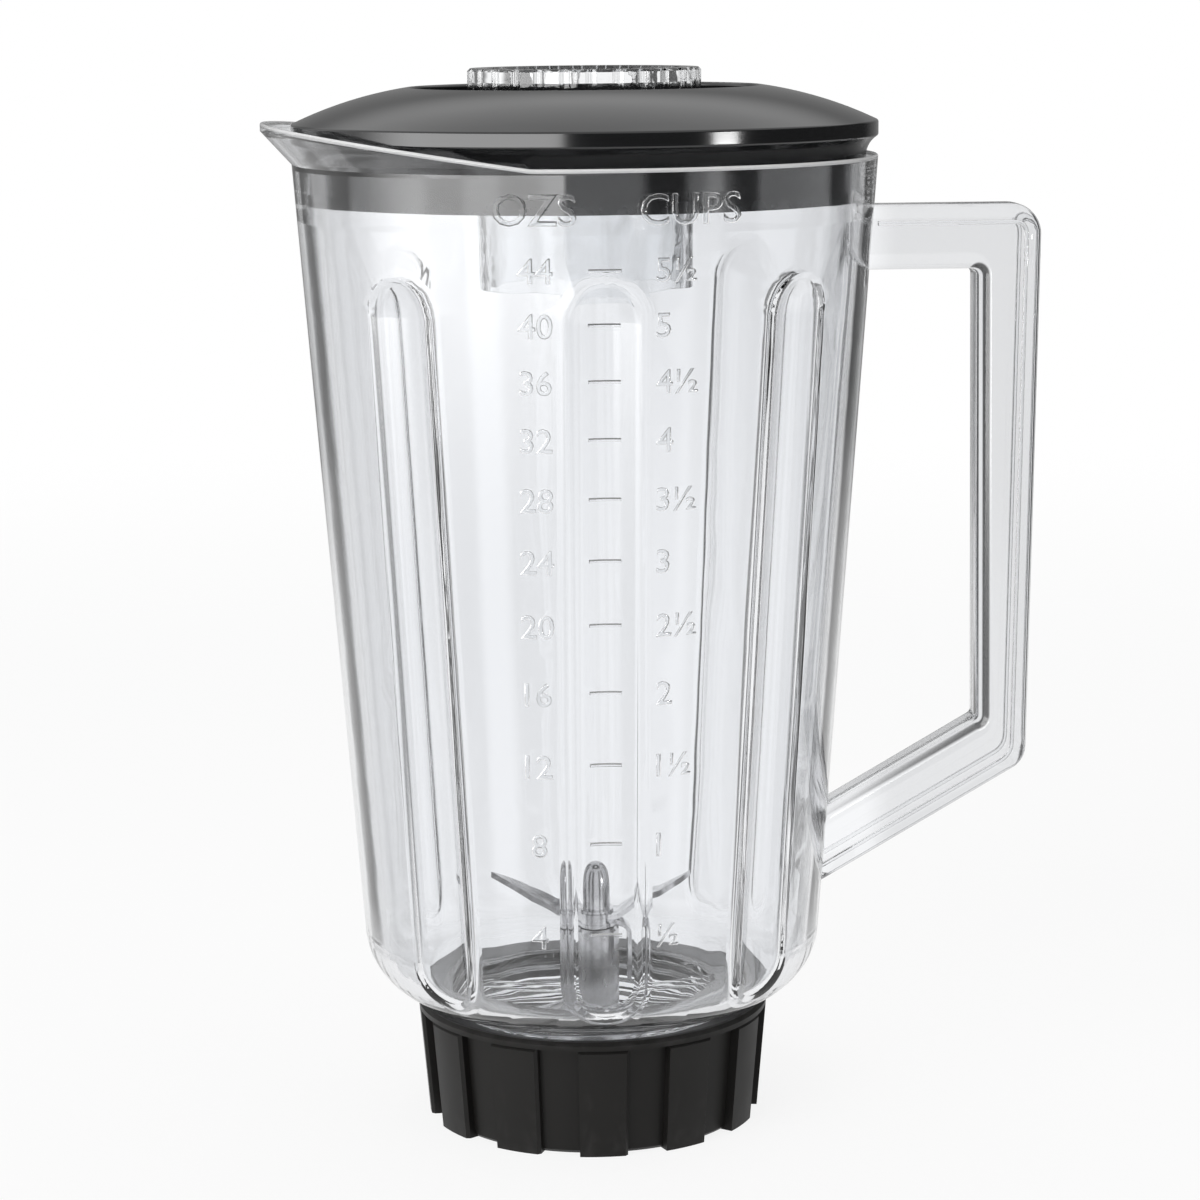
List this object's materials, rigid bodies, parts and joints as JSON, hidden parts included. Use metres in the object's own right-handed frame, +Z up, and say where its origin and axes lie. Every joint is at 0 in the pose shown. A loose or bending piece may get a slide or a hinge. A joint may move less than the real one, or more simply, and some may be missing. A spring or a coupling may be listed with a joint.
{
  "type": "blender jar",
  "caption": "Clear fluted blender jar with moulded handle and pouring spout, dark push-in lid with clear filler cap, ribbed screw collar and a spinning bladed cutter on a sealed bearing.",
  "frame": {"origin": "on the jar's axis in the plane of the collar's foot, on which the jar stands", "axes": "+Z up along the jar's axis, +X towards the handle, -X towards the spout, -Y towards the measuring scale"},
  "size_m": [0.1734, 0.1296, 0.2382],
  "materials": {
    "clear_plastic": "clear polished polycarbonate",
    "lid_black": "glossy",
    "collar_black": "fine satin",
    "stainless": "satin ground",
    "bronze": "sintered, oiled",
    "felt": "oil-soaked felt",
    "seal_rubber": "matt",
    "gasket_rubber": "matt"
  },
  "bodies": {
    "jar": {"jar_body": "clear_plastic", "lid": "lid_black", "filler_cap": "clear_plastic", "retaining_collar": "collar_black", "jar_gasket": "gasket_rubber", "bearing_housing": "stainless", "lower_bushing": "bronze", "oil_felt": "felt", "upper_bushing": "bronze", "shaft_seal": "seal_rubber", "thrust_washer": "bronze"},
    "cutter": {"spindle": "stainless", "retaining_clip": "stainless", "slinger_washer": "stainless", "drive_coupling": "stainless", "spacer_washer": "stainless", "wing_blade": "stainless", "sweep_blade": "stainless", "nut_washer": "stainless", "dome_nut": "stainless"}
  },
  "joints": [
    {"name": "cutter_spin", "type": "hinge", "parent": "jar", "child": "cutter", "pos_m": [0, 0, 0.03], "axis": [0, 0, 1], "continuous": true}
  ]
}
